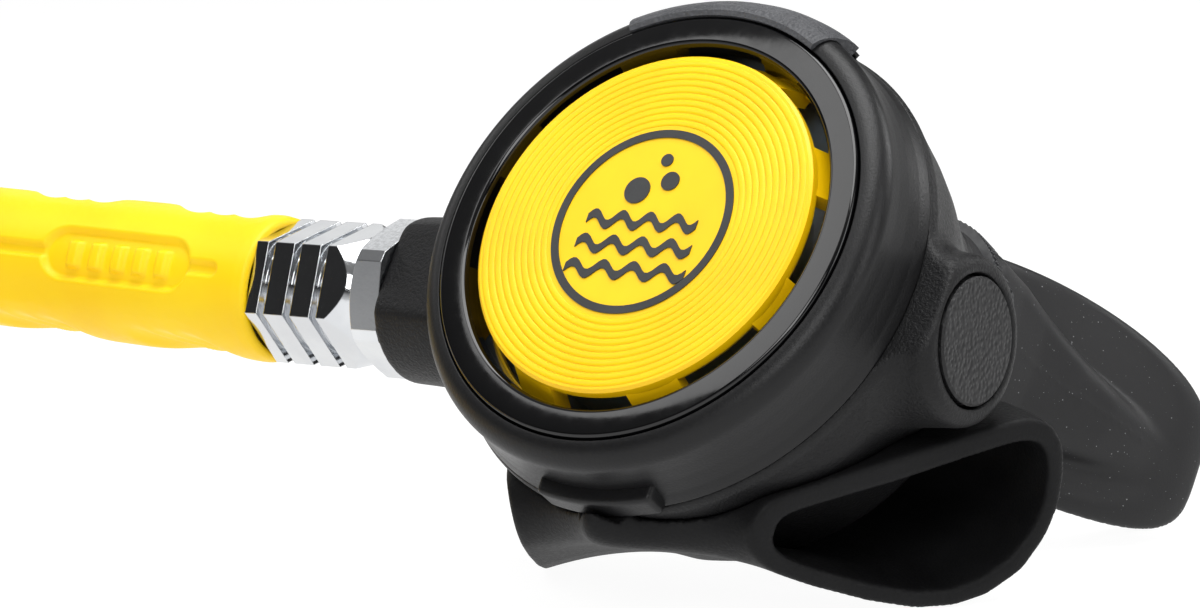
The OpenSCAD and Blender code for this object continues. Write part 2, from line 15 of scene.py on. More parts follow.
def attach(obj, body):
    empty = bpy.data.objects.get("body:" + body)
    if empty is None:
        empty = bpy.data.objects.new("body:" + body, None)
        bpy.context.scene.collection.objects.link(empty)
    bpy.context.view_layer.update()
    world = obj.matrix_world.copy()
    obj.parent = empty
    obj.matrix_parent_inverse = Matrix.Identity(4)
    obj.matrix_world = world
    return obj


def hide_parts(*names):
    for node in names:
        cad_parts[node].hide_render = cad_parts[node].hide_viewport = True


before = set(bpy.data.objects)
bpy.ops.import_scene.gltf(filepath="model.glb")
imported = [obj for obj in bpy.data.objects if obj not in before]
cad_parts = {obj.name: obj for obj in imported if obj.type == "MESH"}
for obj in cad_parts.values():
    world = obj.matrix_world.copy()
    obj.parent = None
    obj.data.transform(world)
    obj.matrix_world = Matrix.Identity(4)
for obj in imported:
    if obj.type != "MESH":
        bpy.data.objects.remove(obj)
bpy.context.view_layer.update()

# %% [markdown]
# ## One frame for everything
# The stage was designed upright, in millimetres, and leans back on the floor. Pieces of the
# stage are easier to describe upright too, so one function puts them where the CAD has them.

# %% From the stage's own millimetres to metres
LEAN = math.radians(34.5)
STAGE_AT = np.array([14.15, -38.77, 50.62])
VALVE_Y, VALVE_Z = 22.3, -2.8
MOUTH_RISE, PORT_DROP = 13, 15


def stage_point(points):
    """Own millimetres (x to the plain side, y back, z up) to metres in the shared frame."""
    p = np.atleast_2d(np.asarray(points, float))
    c, s = math.cos(LEAN), math.sin(LEAN)
    turned = np.column_stack([p[:, 0], p[:, 1] * c + p[:, 2] * s, p[:, 2] * c - p[:, 1] * s])
    return (turned + STAGE_AT) / 1000


VALVE_AXIS = stage_point([0, VALVE_Y, VALVE_Z])[0]
print("valve axis", VALVE_AXIS.round(5))

# %% [markdown]
# ## The camera
# The object is small, so a long lens from about 0.8 m keeps its proportions natural. The
# camera looks down by 7 degrees and stands 36 degrees to the right of the hose's normal.

# %% Camera
TILT = math.radians(0.5)
CAMERA_AT = (0.45870863, -0.66128877, 0.13693873)
right = np.array([0.81120363, 0.58417094, -0.02632459])
up = np.array([-0.05224178, 0.11723553, 0.99172911])
back = np.array([0.5824255, -0.80311901, 0.12562002])
right, up = right * math.cos(TILT) + up * math.sin(TILT), up * math.cos(TILT) - right * math.sin(TILT)
camera_data = bpy.data.cameras.new("camera")
camera_data.lens = 180.14
camera_data.sensor_width = 36
camera_data.sensor_fit = "HORIZONTAL"
camera_data.clip_start = 0.01
camera = bpy.data.objects.new("camera", camera_data)
bpy.context.scene.collection.objects.link(camera)
camera.matrix_world = Matrix([[right[i], up[i], back[i], CAMERA_AT[i]] for i in range(3)]
                             + [[0, 0, 0, 1]])
bpy.context.scene.camera = camera
bpy.context.scene.view_settings.view_transform = "Standard"

# %% [markdown]
# ## Mesh helpers
# Every new piece becomes one mesh whose object stays at the origin. Surfaces that are a
# grid of rings, such as a hose or a sleeve, share one function that joins ring to ring.


# %% Making a mesh object
def make_piece(name, points, faces, smooth=True):
    mesh = bpy.data.meshes.new(name)
    mesh.from_pydata(np.asarray(points).tolist(), [], [list(map(int, f)) for f in faces])
    mesh.polygons.foreach_set("use_smooth", [smooth] * len(mesh.polygons))
    mesh.update()
    piece = bpy.data.objects.new(name, mesh)
    bpy.context.scene.collection.objects.link(piece)
    print(name, "faces", len(mesh.polygons))
    return piece


def ring_faces(rings, sides, closed):
    """Quads between rings of the same size. An open row of rings gets two end caps."""
    i, k = np.meshgrid(np.arange(rings if closed else rings - 1), np.arange(sides), indexing="ij")
    i, k, j, n = i.ravel(), k.ravel(), (k.ravel() + 1) % sides, (i.ravel() + 1) % rings
    quads = np.column_stack([i * sides + k, i * sides + j, n * sides + j, n * sides + k]).tolist()
    if not closed:
        quads += [list(range(sides))[::-1], list(range((rings - 1) * sides, rings * sides))]
    return quads


# %% [markdown]
# ## The hose
# A low-pressure hose is a rubber tube with a braid inside and a tough yellow cover, 11.5 mm
# across and stiff enough to hold wide bends. It leaves the sleeve, comes down to the
# floor, makes one and a half wide turns and ends in a crimped ferrule with a threaded
# fitting. The route's points are the CAD's own, in metres.

# %% Route of the hose
HOSE_R = 0.00575
SLEEVE_END = (-0.162786, VALVE_AXIS[1], 0.039346)
COIL = (-0.184786, -0.085978, 0.064)
START_X = SLEEVE_END[0] + 0.002
STRAIGHT = START_X - COIL[0]
DROP_LENGTH = STRAIGHT + COIL[2] * math.radians(140)
TAIL, FITTING_R = 0.046, 0.0081


def ease(t):
    return t * t * (3 - 2 * t)


def drop_height(s):
    """Height of the hose's middle s metres after it leaves the sleeve."""
    return SLEEVE_END[2] + (3 * HOSE_R - SLEEVE_END[2]) * ease(min(s / DROP_LENGTH, 1))


def hose_route(lead_steps, turn_steps, tail_steps):
    route = [(START_X - s, SLEEVE_END[1], drop_height(s))
             for s in np.linspace(0, STRAIGHT, lead_steps)]
    for a in np.linspace(90, 630, turn_steps)[1:]:
        z = drop_height(STRAIGHT + COIL[2] * math.radians(a - 90))
        if a > 230:
            z = HOSE_R * (3 - 2 * ease(min(max((a - 285) / 145, 0), 1)))
        route.append((COIL[0] + COIL[2] * math.cos(math.radians(a)),
                      COIL[1] + COIL[2] * math.sin(math.radians(a)), z))
    for t in np.linspace(0, 1, tail_steps)[1:]:
        route.append((COIL[0] + TAIL * t, COIL[1] - COIL[2],
                      HOSE_R + (FITTING_R - HOSE_R) * ease(max(2 * t - 1, 0))))
    return np.array(route)


dense = hose_route(12, 320, 24)


# %% Hose as a tube
def tube_points(route, radius, sides):
    """Rings around a route that never runs straight up."""
    tangent = np.gradient(route, axis=0)
    tangent /= np.linalg.norm(tangent, axis=1)[:, None]
    side = np.cross([0, 0, 1], tangent)
    side /= np.linalg.norm(side, axis=1)[:, None]
    top = np.cross(tangent, side)
    a = np.linspace(0, 2 * math.pi, sides, endpoint=False)
    ring = (side[:, None] * np.cos(a)[None, :, None] + top[:, None] * np.sin(a)[None, :, None])
    return (route[:, None] + radius * ring).reshape(-1, 3)


HOSE_SIDES = 36
hose = make_piece("hose_cover", tube_points(dense, HOSE_R, HOSE_SIDES),
                  ring_faces(len(dense), HOSE_SIDES, False))
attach(hose, "hose")
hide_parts("hose_lead", "hose_coil", "hose_tail")

# %% [markdown]
# ## Materials
# One small function adds a shader node with its settings and links, and one turns an sRGB
# hex value to the linear colour that the shader wants. Object coordinates are in metres
# and stay with each piece, so a grain of 0.4 mm is written as 0.4 mm.


# %% Material helpers
def colour(code):
    """#rrggbb in sRGB to linear RGBA."""
    parts = [int(code[i:i + 2], 16) / 255 for i in (1, 3, 5)]
    return tuple(p / 12.92 if p <= 0.04045 else ((p + 0.055) / 1.055) ** 2.4 for p in parts) + (1,)


def add(tree, kind, inputs=None, **settings):
    """One node: settings go on the node, inputs are set as values or linked from sockets."""
    made = tree.nodes.new(kind)
    for name, value in settings.items():
        setattr(made, name, value)
    for name, value in (inputs or {}).items():
        if isinstance(value, bpy.types.NodeSocket):
            tree.links.new(value, made.inputs[name])
        else:
            made.inputs[name].default_value = value
    return made


def per_mm(size):
    """Texture scale whose features are about size millimetres across."""
    return 1000 / size


def start_material(name):
    made = bpy.data.materials.new(name)
    made.use_nodes = True
    made.node_tree.nodes.clear()
    tree = made.node_tree
    where = add(tree, "ShaderNodeTexCoord").outputs["Object"]
    return made, tree, where


def finish_material(tree, shader):
    add(tree, "ShaderNodeOutputMaterial", {"Surface": shader.outputs["BSDF"]})


def moulded(name, dark, light, rough, grain, depth, patch=9, specular=0.5, edge=0.0,
             subsurface=0.0, grain_kind="noise", metal=0.0):
    """A moulded or machined finish: colour drifts over patches, the grain lifts the surface
    by depth mm and makes the roughness vary from rough[0] to rough[1]."""
    made, tree, where = start_material(name)
    drift = add(tree, "ShaderNodeTexNoise", {"Vector": where, "Scale": per_mm(patch),
                                             "Detail": 3.0, "Roughness": 0.55})
    if grain_kind == "cells":
        fine = add(tree, "ShaderNodeTexVoronoi", {"Vector": where, "Scale": per_mm(grain)},
                   feature="SMOOTH_F1").outputs["Distance"]
    else:
        fine = add(tree, "ShaderNodeTexNoise", {"Vector": where, "Scale": per_mm(grain),
                                                "Detail": 2.0, "Roughness": 0.6}).outputs["Fac"]
    tint = add(tree, "ShaderNodeMapRange", {"Value": drift.outputs["Fac"], "From Min": 0.35,
                                            "From Max": 0.65})
    shade = add(tree, "ShaderNodeMixRGB", {"Fac": tint.outputs["Result"], "Color1": colour(dark),
                                           "Color2": colour(light)})
    wear = add(tree, "ShaderNodeMapRange", {"Value": fine, "From Min": 0.3, "From Max": 0.7,
                                            "To Min": rough[0], "To Max": rough[1]})
    inputs = {"Height": fine, "Strength": 1.0, "Distance": depth / 1000}
    if edge:
        soft = add(tree, "ShaderNodeBevel", {"Radius": edge / 1000}, samples=6)
        inputs["Normal"] = soft.outputs["Normal"]
    bump = add(tree, "ShaderNodeBump", inputs)
    shader = add(tree, "ShaderNodeBsdfPrincipled", {
        "Base Color": shade.outputs["Color"], "Roughness": wear.outputs["Result"],
        "Normal": bump.outputs["Normal"], "Metallic": metal, "Specular IOR Level": specular,
        "Subsurface Weight": subsurface})
    finish_material(tree, shader)
    return made


def dress(material, *names):
    """Puts a material on CAD nodes or pieces."""
    for name in names:
        data = bpy.data.objects[name].data
        if data.materials:
            data.materials[0] = material
        else:
            data.materials.append(material)


# %% [markdown]
# ### Hard black plastics
# The case is glass-filled nylon from a spark-eroded mould: matte, with a fine leather-like
# grain of about 0.4 mm. The cover ring is the same nylon from a smoother mould. The bezel
# comes from a polished mould and mirrors the lights. The clip's mould is coarser and grey.

# %% Black plastics
case_nylon = moulded("glass-filled nylon, eroded mould grain", "#111112", "#151516", (0.4, 0.56),
                     0.42, 0.14, specular=0.24, edge=0.5)
cover_nylon = moulded("glass-filled nylon, satin mould", "#121213", "#151516", (0.34, 0.44),
                      0.34, 0.035, specular=0.28)
bezel_gloss = moulded("polished ABS bezel", "#050506", "#070708", (0.05, 0.1), 2.2, 0.003,
                      specular=0.5)
clip_grain = moulded("nylon clip, coarse eroded grain", "#404144", "#4b4c4f", (0.48, 0.64),
                     0.5, 0.16, specular=0.4, grain_kind="cells")
plug_pebble = moulded("rubber-like plug, pebble grain", "#161617", "#1d1d1e", (0.42, 0.56),
                      0.6, 0.24, specular=0.34, grain_kind="cells")
ring_acetal = moulded("acetal ring, moulded", "#1b1b1c", "#222223", (0.3, 0.42), 0.5, 0.01)
tee_rubber = moulded("thermoplastic rubber, matt mould", "#0e0e0f", "#131314", (0.5, 0.62),
                     0.45, 0.07, specular=0.18)
dress(case_nylon, "case_body")
dress(cover_nylon, "cover_ring")
dress(bezel_gloss, "bezel")
dress(clip_grain, "top_clip")
dress(plug_pebble, "side_plug")
dress(ring_acetal, "retaining_ring", "air_vane")
dress(tee_rubber, "exhaust_tee")

# %% [markdown]
# ### Yellow pieces
# The purge button and the hose sleeve are a bright, slightly translucent yellow. Plastic
# this bright scatters light under its skin, so shadows in it turn warm instead of grey;
# these finishes leave that out and are opaque.

# %% Yellow plastics
purge_yellow = moulded("yellow polyurethane, moulded", "#fcc600", "#ffce03", (0.34, 0.42), 0.6,
                       0.012, specular=0.4, patch=14)
sleeve_yellow = moulded("yellow hose sleeve, soft moulded PVC", "#fccf02", "#ffd808", (0.4, 0.52),
                        0.8, 0.02, specular=0.35, patch=16)
hose_yellow = moulded("yellow hose cover, extruded rubber", "#f8c804", "#fed00a", (0.42, 0.55),
                      0.7, 0.03, specular=0.35, patch=20)
badge_ink = moulded("dark grey raised print", "#2c2d2e", "#353637", (0.5, 0.62), 0.4, 0.01)
dress(purge_yellow, "purge_button")
dress(sleeve_yellow, "hose_sleeve", "hose_core")
dress(hose_yellow, "hose_cover")
dress(badge_ink, "badge")

# %% [markdown]
# ### Metals
# The swivel nut and the inlet fitting are brass with bright chrome over it: a mirror with
# faint polishing marks. Ferrules are satin stainless steel and inner parts bare brass.

# %% Metals
chrome = moulded("chromed brass, polished", "#d4d6d9", "#dfe1e3", (0.05, 0.13), 0.5, 0.002,
                 metal=1.0, edge=0.22)
stainless = moulded("stainless steel, satin", "#b9bbbd", "#c8cacc", (0.24, 0.36), 0.35, 0.004,
                    metal=1.0, edge=0.2)
brass = moulded("brass, machined", "#c9a557", "#d6b466", (0.2, 0.32), 0.3, 0.004, metal=1.0)
spring_wire = moulded("stainless spring wire, drawn", "#b5b7ba", "#c4c6c8", (0.2, 0.3), 0.2,
                      0.003, metal=1.0)
dress(chrome, "swivel_nut", "inlet_fitting", "hose_connector")
dress(stainless, "near_ferrule", "far_ferrule", "lever", "lever_pin", "hose_nipple")
dress(brass, "valve_barrel", "orifice", "poppet_nut", "end_plug")
dress(spring_wire, "purge_spring", "poppet_spring")

# %% [markdown]
# ### Silicones and seals
# The mouthpiece is dark grey silicone, which dust clings to as pale specks. The diaphragm
# and the exhaust flap are clear grey silicone, and the O-rings are black nitrile rubber.

# %% Soft materials
nitrile = moulded("nitrile O-ring", "#121213", "#191919", (0.3, 0.45), 0.3, 0.006)
clear_silicone = moulded("grey liquid silicone, moulded", "#8a939a", "#99a2a8", (0.35, 0.5), 0.5,
                         0.01, subsurface=0.2)
white_acetal = moulded("white acetal, moulded", "#d9dad8", "#e4e4e1", (0.3, 0.42), 0.5, 0.008,
                       subsurface=0.1)
seat_rubber = moulded("seat rubber, moulded", "#26282b", "#2e3033", (0.5, 0.62), 0.4, 0.01)
dress(nitrile, "barrel_oring", "side_plug_oring", "nipple_oring", "connector_oring")
dress(clear_silicone, "diaphragm", "exhaust_valve")
dress(white_acetal, "diaphragm_plate", "poppet")
dress(seat_rubber, "poppet_seat")


# %% Dusty silicone and strap
def dusty_silicone(name):
    """Dark silicone with a pale speck about every 2 mm, 0.06 to 0.2 mm across."""
    made, tree, where = start_material(name)
    drift = add(tree, "ShaderNodeTexNoise", {"Vector": where, "Scale": per_mm(12), "Detail": 3.0})
    shade = add(tree, "ShaderNodeMixRGB", {"Fac": drift.outputs["Fac"],
                                           "Color1": colour("#19191a"), "Color2": colour("#222223")})
    cells = add(tree, "ShaderNodeTexVoronoi", {"Vector": where, "Scale": per_mm(0.62),
                                               "Randomness": 1.0})
    size = add(tree, "ShaderNodeTexWhiteNoise", {"Vector": cells.outputs["Position"]})
    limit = add(tree, "ShaderNodeMapRange", {"Value": size.outputs["Value"], "From Min": 0.74,
                                             "From Max": 1.0, "To Min": 0.05, "To Max": 0.16})
    speck = add(tree, "ShaderNodeMath", {0: cells.outputs["Distance"],
                                         1: limit.outputs["Result"]}, operation="LESS_THAN")
    amount = add(tree, "ShaderNodeMath", {0: speck.outputs["Value"], 1: 0.5},
                 operation="MULTIPLY")
    dusty = add(tree, "ShaderNodeMixRGB", {"Fac": amount.outputs["Value"],
                                           "Color1": shade.outputs["Color"],
                                           "Color2": colour("#a6a6a9")})
    fine = add(tree, "ShaderNodeTexNoise", {"Vector": where, "Scale": per_mm(0.35), "Detail": 2.0})
    wear = add(tree, "ShaderNodeMapRange", {"Value": fine.outputs["Fac"], "To Min": 0.42,
                                            "To Max": 0.58})
    bump = add(tree, "ShaderNodeBump", {"Height": fine.outputs["Fac"], "Strength": 1.0,
                                        "Distance": 0.000012})
    shader = add(tree, "ShaderNodeBsdfPrincipled", {
        "Base Color": dusty.outputs["Color"], "Roughness": wear.outputs["Result"],
        "Normal": bump.outputs["Normal"], "Specular IOR Level": 0.3})
    finish_material(tree, shader)
    return made


mouth_silicone = dusty_silicone("dark silicone with dust")
strap_nylon = moulded("nylon strap, glossy", "#222325", "#2a2b2d", (0.16, 0.26), 0.8, 0.006)
dress(mouth_silicone, "mouthpiece")
dress(strap_nylon, "mouth_clamp")

# %% [markdown]
# ## Soft shapes from distance fields
# The mouthpiece and the exhaust tee are moulded rubber: every wall flows into the next one
# with a fillet. Pushing vertices into such a shape is slow, so it is written as a field, a
# function that is negative inside the rubber. Two fields join with a smooth minimum, which
# makes the fillet by itself. A net of quads is then hung where the field is zero.


# %% Field helpers
def join(a, b, k):
    """Union of two fields with a fillet about k wide."""
    h = np.clip(0.5 + 0.5 * (b - a) / k, 0, 1)
    return b * (1 - h) + a * h - k * h * (1 - h)


def cut(a, b, k):
    """What both fields share, with its edges rounded over about k."""
    return -join(-a, -b, k)


def oval(x, z, w, h):
    """A bar w wide and h high with round ends."""
    return np.hypot(np.maximum(np.abs(x) - (w - h) / 2, 0), z) - h / 2


def pad(x, z, w, h, p=3.77):
    """A rounded rectangle of half sizes w and h."""
    u, v = np.abs(x) / w + 1e-6, np.abs(z) / h + 1e-6
    size = (u ** p + v ** p) ** (1 / p)
    slope = np.hypot(u ** (p - 1) / w, v ** (p - 1) / h) * size ** (1 - p)
    return (size - 1) / slope


def box_field(x, y, z, low, high, r):
    """A box whose edges are rounded by r."""
    q = [np.maximum(low[i] + r - v, v - high[i] + r) for i, v in enumerate((x, y, z))]
    out = np.sqrt(sum(np.maximum(v, 0) ** 2 for v in q))
    return out + np.minimum(np.maximum.reduce(q), 0) - r


def profile_field(radius, depth, points):
    """Distance to a closed outline of [radius, depth], negative inside."""
    best, sign = np.full(radius.shape, 1e9), np.ones(radius.shape)
    for (ax, ay), (bx, by) in zip(points, points[1:] + points[:1]):
        ex, ey, wx, wy = bx - ax, by - ay, radius - ax, depth - ay
        t = np.clip((wx * ex + wy * ey) / (ex * ex + ey * ey), 0, 1)
        best = np.minimum(best, np.hypot(wx - ex * t, wy - ey * t))
        above, below, left = depth >= ay, depth < by, ex * wy > ey * wx
        sign = np.where((above & below & left) | (~above & ~below & ~left), -sign, sign)
    return best * sign


# %% [markdown]
# The net has one vertex for each small cube that the surface crosses, and one quad for each
# cube edge that it crosses. Cubes far from the surface are skipped in blocks, and the
# vertices then slide along the field's slope until they lie on the surface itself.


# %% Net over a field
def field_net(field, low, high, step, block=8):
    """Vertices in millimetres and quads, facing outwards, where field(x, y, z) is zero."""
    low = np.array(low, float)
    cells = np.ceil((np.array(high) - low) / step / block).astype(int) * block
    values = np.full(cells + 1, 99.0, np.float32)
    starts = np.stack(np.meshgrid(*[np.arange(0, n, block) for n in cells], indexing="ij"), -1)
    starts = starts.reshape(-1, 3)
    middle = low + (starts + block / 2) * step
    distance = field(*middle.T)
    reach = block * step * 0.5 * 3 ** 0.5 * 1.35 + 0.8
    for start in starts[distance <= -reach]:
        i, j, k = start
        values[i:i + block + 1, j:j + block + 1, k:k + block + 1] = -99
    near = starts[np.abs(distance) < reach]
    offsets = np.stack(np.meshgrid(*[np.arange(block + 1)] * 3, indexing="ij"), -1)
    for chunk in np.array_split(near, max(1, len(near) // 400)):
        index = chunk[:, None] + offsets.reshape(1, -1, 3)
        where = low + index.reshape(-1, 3) * step
        values[tuple(index.reshape(-1, 3).T)] = field(*where.T)
    inside = values < 0
    corners = [(a, b, c) for a in (0, 1) for b in (0, 1) for c in (0, 1)]
    n = np.array(values.shape) - 1
    count = sum(inside[a:a + n[0], b:b + n[1], c:c + n[2]].astype(np.int8) for a, b, c in corners)
    active = np.argwhere((count > 0) & (count < 8))
    number = np.full(n, -1)
    number[tuple(active.T)] = np.arange(len(active))
    corner_values = np.stack([values[tuple((active + c).T)] for c in corners], 1)
    total, hits = np.zeros((len(active), 3)), np.zeros(len(active))
    for p in range(8):
        for q in range(p + 1, 8):
            if sum(abs(np.array(corners[p]) - corners[q])) != 1:
                continue
            a, b = corner_values[:, p], corner_values[:, q]
            crossed = (a < 0) != (b < 0)
            t = np.where(crossed, a / np.where(crossed, a - b, 1), 0)
            spot = np.array(corners[p]) + t[:, None] * (np.array(corners[q]) - corners[p])
            total += spot * crossed[:, None]
            hits += crossed
    points = low + (active + total / hits[:, None]) * step
    quads = []
    for axis in range(3):
        u, v = np.eye(3, dtype=int)[(axis + 1) % 3], np.eye(3, dtype=int)[(axis + 2) % 3]
        along = np.eye(3, dtype=int)[axis]
        first = inside[:n[0], :n[1], :n[2]]
        second = inside[along[0]:along[0] + n[0], along[1]:along[1] + n[1], along[2]:along[2] + n[2]]
        edges = np.argwhere(first != second)
        edges = edges[np.all(edges >= u + v, axis=1)]
        ring = np.stack([number[tuple((edges - d).T)] for d in (u + v, v, 0 * u, u)], 1)
        outward = first[tuple(edges.T)]
        quads.append(np.where(outward[:, None], ring, ring[:, ::-1]))
    h = step * 0.25
    for _ in range(4):
        x, y, z = points.T
        slope = np.stack([field(x + h, y, z) - field(x - h, y, z), field(x, y + h, z)
                          - field(x, y - h, z), field(x, y, z + h) - field(x, y, z - h)], 1) / (2 * h)
        size = np.maximum((slope ** 2).sum(1), 0.15)
        move = -(field(x, y, z) / size)[:, None] * slope
        length = np.linalg.norm(move, axis=1)[:, None]
        points = points + move * np.minimum(1, 0.3 * step / np.maximum(length, 1e-9))
    return points, np.concatenate(quads)


# %% [markdown]
# ## The exhaust tee
# The tee is a soft black hood under the case. It leads the diver's bubbles to both sides,
# past the cheeks. In section it is a rounded beak in the middle and a wide ear at each
# mouth, so its field blends one outline into the other along each lobe. The outlines are
# tables of radius against angle round a centre that moves with them.

# %% Outlines of the tee
TEE_MID = [[9.5, -34.5], [10, -38.4], [13, -39.6], [17, -38.5], [22, -35.6], [30, -32.6],
           [37, -30.4], [44, -25], [48.5, -14], [48, -5], [43, -2], [30, -8], [20, -20]]
TEE_MID_IN = [[15, -32.5], [16, -34.6], [17.6, -35.6], [19, -34.8], [23, -32.6],
              [30, -30.6], [36.2, -28.6], [42, -24], [46, -14], [45.6, -7], [42, -4.6], [30, -10],
              [20, -20]]
TEE_MOUTH = [[23.5, -21], [30, -14], [36.3, -7.4], [43.4, -0.2], [49.8, 5.8], [52.8, 6.7],
             [56.1, 5.2], [58.3, 2.6], [60.6, -1.7], [61.6, -6], [61.4, -11.5], [58.9, -16.7],
             [55.6, -20.1], [51, -22.9], [44.5, -25.2], [36.4, -27.2], [30, -28.2], [26, -27.6],
             [23.6, -25]]
TEE_MOUTH_IN = [[26.6, -21.8], [32, -16.4], [38.5, -10], [45.2, -2.9], [50.6, 2.6], [52.9, 3.8],
                [55.1, 2.8], [56.9, 0.6], [58.7, -2.9], [59.4, -6.4], [59, -11], [56.9, -15.4],
                [54, -18.4], [49.8, -20.8], [43.8, -22.9], [36, -24.8], [30.4, -25.7],
                [27.8, -25.2]]
MID_CENTRE, MOUTH_CENTRE = np.array([30, -20]), np.array([43, -14])
ANGLES = np.radians(np.arange(360))


def radius_table(outline, centre, blur):
    """Radius of an outline at each whole degree round a centre, blurred over some degrees."""
    points = np.array(outline, float) - centre
    radii = []
    for a in ANGLES:
        ray = np.array([math.cos(a), math.sin(a)])
        reach = 0.0
        for p, q in zip(points, np.roll(points, -1, axis=0)):
            edge = q - p
            across = ray[0] * edge[1] - ray[1] * edge[0]
            if abs(across) < 1e-9:
                continue
            r = (p[0] * edge[1] - p[1] * edge[0]) / across
            s = (p[0] * ray[1] - p[1] * ray[0]) / across
            if r > 0 and -1e-6 <= s <= 1 + 1e-6:
                reach = max(reach, r)
        radii.append(reach)
    weights = np.exp(-0.5 * (np.minimum(np.arange(360), 360 - np.arange(360)) / blur) ** 2)
    return np.real(np.fft.ifft(np.fft.fft(radii) * np.fft.fft(weights / weights.sum())))


tee_out = (radius_table(TEE_MID, MID_CENTRE, 2.5), radius_table(TEE_MOUTH, MOUTH_CENTRE, 2.5))
tee_in = (radius_table(TEE_MID_IN, MID_CENTRE, 2.5), radius_table(TEE_MOUTH_IN, MOUTH_CENTRE, 2.5))
print("tee mouth radius from", tee_out[1].min().round(1), "to", tee_out[1].max().round(1), "mm")


# %% Field of the tee
PITCH, YAW, MOUTH_OFF = math.radians(26.7), math.radians(-21.5), 25.0
MOUTH_N = np.array([math.cos(PITCH) * math.cos(YAW), math.cos(PITCH) * math.sin(YAW),
                    -math.sin(PITCH)])
MOUTH_Y = np.array([-math.sin(YAW), math.cos(YAW), 0])
MOUTH_Z = np.array([math.sin(PITCH) * math.cos(YAW), math.sin(PITCH) * math.sin(YAW),
                    math.cos(PITCH)])
CASE_SIDE = [[0, 13], [34.9, 13], [35.2, 14.2], [34.8, 16], [34.4, 18], [33.7, 22], [32.7, 26],
             [31.3, 30], [29.9, 34], [28.6, 38], [28.1, 40], [27.2, 41.4], [25.9, 42], [0, 42]]

COVER_SIDE = [[0, 2], [34.4, 2], [35.3, 13], [0, 13]]


def table_at(table, angle):
    at = np.degrees(angle) % 360
    i = np.floor(at).astype(int) % 360
    return table[i] + (table[(i + 1) % 360] - table[i]) * (at - np.floor(at))


def tee_field(x, y, z):
    x = np.abs(x)
    soft_x = x * np.tanh(x / 4)
    n_dot = soft_x * MOUTH_N[0] + y * MOUTH_N[1] + z * MOUTH_N[2]
    t = np.clip(soft_x / np.maximum(soft_x - n_dot + MOUTH_OFF, 1), 0, 1.15)
    u = (1 - t) * y + t * (soft_x * MOUTH_Y[0] + y * MOUTH_Y[1])
    v = (1 - t) * z + t * (soft_x * MOUTH_Z[0] + y * MOUTH_Z[1] + z * MOUTH_Z[2])
    flare = t ** 1.1
    u = u - (MID_CENTRE[0] + (MOUTH_CENTRE[0] - MID_CENTRE[0]) * flare)
    v = v - (MID_CENTRE[1] + (MOUTH_CENTRE[1] - MID_CENTRE[1]) * flare)
    rho, phi = np.hypot(u, v), np.arctan2(v, u)
    walls = []
    for mid, mouth in (tee_out, tee_in):
        r = (1 - flare) * table_at(mid, phi) + flare * table_at(mouth, phi)
        d = 0.02
        ahead = (1 - flare) * table_at(mid, phi + d) + flare * table_at(mouth, phi + d)
        walls.append((rho - r) / np.sqrt(1 + ((ahead - r) / d / np.maximum(r, 4)) ** 2))
    shell = cut(walls[0], -walls[1], 0.3)
    mouth = x * MOUTH_N[0] + y * MOUTH_N[1] + z * MOUTH_N[2] - MOUTH_OFF
    shell = cut(shell, mouth, 0.9)
    case = profile_field(np.hypot(x, z), y, CASE_SIDE)
    cover = profile_field(np.hypot(x, z), y, COVER_SIDE)
    lip = box_field(x, y, z, (-9.1, 8.4, -36.8), (9.1, 12.9, -32), 0.3)
    boss = 12.9 - np.hypot(y - VALVE_Y, z - VALVE_Z)
    return np.maximum.reduce([cut(shell, 0.18 - case, 0.5), -cover, -lip, boss])


points, quads = field_net(tee_field, (-58, 4, -48), (58, 62, 12), 0.5)
tee = make_piece("exhaust_tee_hood", stage_point(points), quads)
dress(tee_rubber, "exhaust_tee_hood")
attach(tee, "stage")
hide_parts("exhaust_tee")

# %% [markdown]
# ## The mouthpiece
# It is one piece of silicone: a tube that grips the case's spigot, a throat that fans out,
# a thin lip shield curved round the teeth and two tabs to bite on. The throat stands out
# of the shield as a long raised lobe, and a fine mould seam runs round it at mid height.


# %% Field of the mouthpiece
def arch(x):
    return 60 + x * x / 32


def mouth_field(x, y, z):
    z = z - MOUTH_RISE
    x = np.abs(x)
    tube = cut(oval(x, z, 43, 28), np.maximum(44.4 - y, y - 64), 1.0)
    w = np.interp(y, [50, 56, 62, 68, 76, 87.5, 100], [20.9, 21.3, 22.4, 24.3, 27.3, 30.6, 31.0])
    h = np.interp(y, [50, 58, 64, 72, 80, 100], [12.6, 12.0, 10.6, 9.2, 8.6, 8.4])
    z0 = np.interp(y, [58, 72], [0.2, -0.5])
    slant = (y - arch(x)) / np.sqrt(1 + (x / 16) ** 2)
    fan = cut(cut(x - w, pad(x, z - z0, 30.4, h, 2.4), 3.0), np.maximum(50 - y, slant - 1), 1.5)
    shield = cut(np.abs(slant - 1.4) - 1.4, pad(x, z - 1.3, 31.6, 16), 1.9)
    tab = box_field(x, y, z, (17, 70, -1.6), (25, 98.5, 3.4), 1.6)
    lug = np.sqrt((x - 21) ** 2 + (y - 98.5) ** 2
                  + np.maximum(np.abs(z - 1.5) - 5, 0) ** 2) - 2.6
    body = join(join(tube, fan, 3.0), shield, 1.3)
    body = join(body, join(tab, lug, 2.0), 1.6)
    socket = np.maximum(oval(x, z, 36.2, 21.2), y - 58.1)
    groove = np.maximum(oval(x, z, 37.6, 22.6), np.abs(y - 56.95) - 1.15)
    way_w = np.interp(y, [57, 70], [31, 28])
    way = np.maximum(oval(x, z, way_w, way_w - 15), np.maximum(57 - y, y - 90))
    body = cut(cut(body, -np.minimum(socket, groove), 0.4), -way, 1.6)
    seam = 0.16 * np.exp(-(z / 0.32) ** 2) * np.clip((y - 58) / 3, 0, 1) * np.clip(-slant / 2, 0, 1)
    return body - seam


